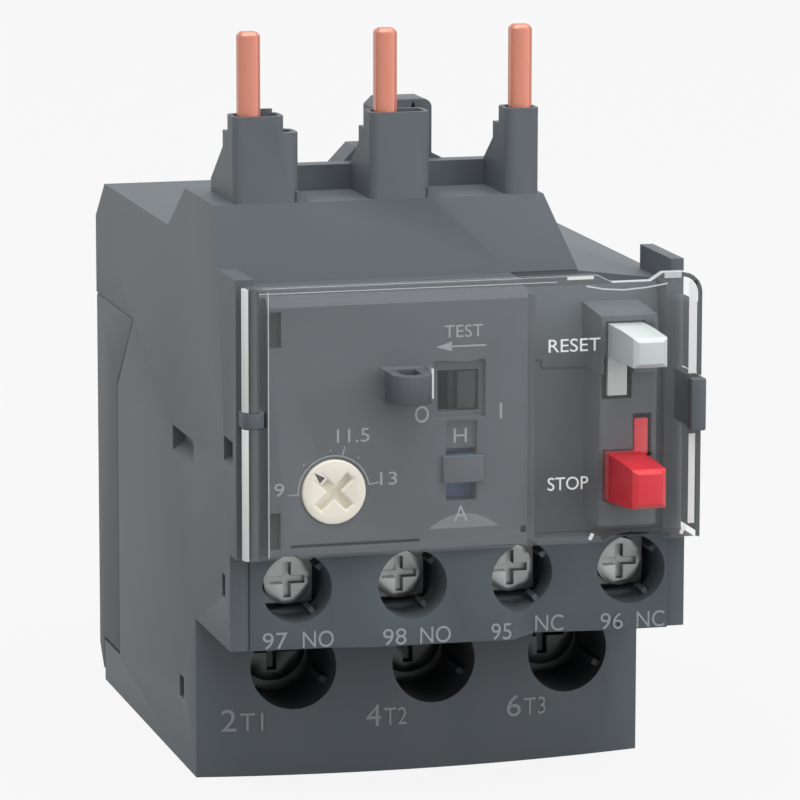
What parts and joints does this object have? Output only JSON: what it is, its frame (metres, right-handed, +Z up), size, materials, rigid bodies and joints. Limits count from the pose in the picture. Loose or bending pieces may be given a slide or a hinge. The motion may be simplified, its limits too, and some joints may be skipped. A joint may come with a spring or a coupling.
{
  "type": "thermal overload relay",
  "caption": "Three-pole thermal overload relay with copper plug-in pins, a hinged clear cover over a setting dial, and reset and stop buttons.",
  "frame": {"origin": "under the middle of the relay's overall box, on the plane the relay stands on", "axes": "+Z up towards the contactor pins, -Y out of the front with the buttons, +X to the right seen from the front"},
  "size_m": [0.045, 0.072, 0.0738],
  "materials": {
    "grey_moulding": "moulded polyamide, fine matt texture",
    "rear_moulding": "moulded polyamide, fine matt texture",
    "block_moulding": "moulded polyamide, fine matt texture",
    "plate_moulding": "moulded polyamide, fine matt texture",
    "panel_moulding": "moulded polyamide, fine matt texture",
    "clear_polycarbonate": "clear, slightly smoked polycarbonate",
    "latch_moulding": "moulded polyamide",
    "spring_steel": "drawn wire",
    "dial_ivory": "ivory moulding",
    "white_acetal": "unfilled acetal",
    "sheet_steel": "zinc-plated sheet",
    "selector_blue": "blue moulding",
    "button_white": "white moulding",
    "button_red": "red moulding",
    "slide_fibre": "laminated sheet",
    "black_moulding": "moulded polyamide",
    "bimetal": "rolled strip",
    "silvered_copper": "silver-plated copper",
    "nickel_plated_steel": "bright nickel plate",
    "zinc_plated_steel": "zinc plate",
    "bare_copper": "bright copper",
    "mica_sleeve": "woven glass sleeve",
    "heater_alloy": "resistance alloy, dull",
    "tinned_copper": "tin-plated copper"
  },
  "bodies": {
    "housing": {"main_housing": "grey_moulding", "rear_cover": "rear_moulding", "control_terminal_block": "block_moulding", "dial_plate": "plate_moulding", "button_panel": "panel_moulding", "cover_hinge_pin": "spring_steel", "lever_pin": "spring_steel", "reset_spring": "spring_steel", "stop_spring": "spring_steel", "power_terminal_screws": "nickel_plated_steel", "power_clamps": "zinc_plated_steel", "power_nuts": "zinc_plated_steel", "control_terminal_screws": "nickel_plated_steel", "control_clamps": "zinc_plated_steel", "contact_strip_95": "silvered_copper", "contact_strip_96": "silvered_copper", "contact_strip_97": "silvered_copper", "contact_strip_98": "silvered_copper", "line_pin_left": "bare_copper", "bimetal_strip_left": "bimetal", "heater_sleeve_left": "mica_sleeve", "heater_winding_left": "heater_alloy", "terminal_bar_left": "tinned_copper", "line_pin_middle": "bare_copper", "bimetal_strip_middle": "bimetal", "heater_sleeve_middle": "mica_sleeve", "heater_winding_middle": "heater_alloy", "terminal_bar_middle": "tinned_copper", "line_pin_right": "bare_copper", "bimetal_strip_right": "bimetal", "heater_sleeve_right": "mica_sleeve", "heater_winding_right": "heater_alloy", "terminal_bar_right": "tinned_copper"},
    "cover": {"clear_cover": "clear_polycarbonate", "cover_latch": "latch_moulding"},
    "dial": {"adjustment_dial": "dial_ivory", "dial_cam": "white_acetal"},
    "adjuster": {"adjusting_lever": "sheet_steel"},
    "selector": {"mode_selector": "selector_blue", "selector_knob": "plate_moulding"},
    "test": {"test_slider": "selector_blue"},
    "reset": {"reset_button": "button_white", "reset_plunger": "white_acetal"},
    "stop": {"stop_button": "button_red", "stop_plunger": "white_acetal"},
    "slide": {"main_slide": "slide_fibre"},
    "differential": {"differential_slide": "slide_fibre"},
    "lever": {"trip_lever": "black_moulding", "compensation_strip": "bimetal"},
    "carrier": {"contact_carrier": "white_acetal", "open_bridge": "silvered_copper", "closed_bridge": "silvered_copper"}
  },
  "joints": [
    {"name": "cover_hinge", "type": "hinge", "parent": "housing", "child": "cover", "pos_m": [-0.02125, -0.02835, 0.0385], "axis": [0, 0, -1], "range_deg": [0, 110]},
    {"name": "dial_turn", "type": "hinge", "parent": "housing", "child": "dial", "pos_m": [-0.013, -0.02645, 0.0313], "axis": [0, 1, 0], "range_deg": [-45, 125]},
    {"name": "adjuster_turn", "type": "hinge", "parent": "housing", "child": "adjuster", "pos_m": [0.004, -0.02145, 0.0354], "axis": [0, 1, 0], "range_deg": [-3.5, 1.4]},
    {"name": "selector_slide", "type": "slide", "parent": "housing", "child": "selector", "axis": [0, 0, -1], "range_m": [0, 0.0014]},
    {"name": "test_slide", "type": "slide", "parent": "housing", "child": "test", "axis": [-1, 0, 0], "range_m": [0, 0.0019], "stiffness_N_per_m": 400, "springref_m": -0.0005},
    {"name": "reset_push", "type": "slide", "parent": "housing", "child": "reset", "axis": [0, 1, 0], "range_m": [0, 0.002], "stiffness_N_per_m": 800, "springref_m": -0.001, "deforming": ["reset_spring"]},
    {"name": "stop_push", "type": "slide", "parent": "housing", "child": "stop", "axis": [0, 1, 0], "range_m": [0, 0.002], "stiffness_N_per_m": 800, "springref_m": -0.001, "deforming": ["stop_spring"]},
    {"name": "trip_slide", "type": "slide", "parent": "housing", "child": "slide", "axis": [1, 0, 0], "range_m": [0, 0.0014], "stiffness_N_per_m": 200, "springref_m": -0.0005},
    {"name": "differential_slide", "type": "slide", "parent": "housing", "child": "differential", "axis": [1, 0, 0], "range_m": [0, 0.00071]},
    {"name": "lever_turn", "type": "hinge", "parent": "housing", "child": "lever", "pos_m": [0.0171, -0.00145, 0.038], "axis": [0, 0, -1], "range_deg": [0, 6.45]},
    {"name": "carrier_slide", "type": "slide", "parent": "housing", "child": "carrier", "axis": [0, 1, 0], "range_m": [0, 0.00101]}
  ],
  "couplings": [
    {"joint": "adjuster_turn", "follows": "dial_turn", "ratio": -0.026964},
    {"joint": "differential_slide", "follows": "trip_slide", "ratio": 0.5},
    {"joint": "lever_turn", "follows": "trip_slide", "rad_per_m": 79.6},
    {"joint": "carrier_slide", "follows": "trip_slide", "ratio": 0.714}
  ]
}
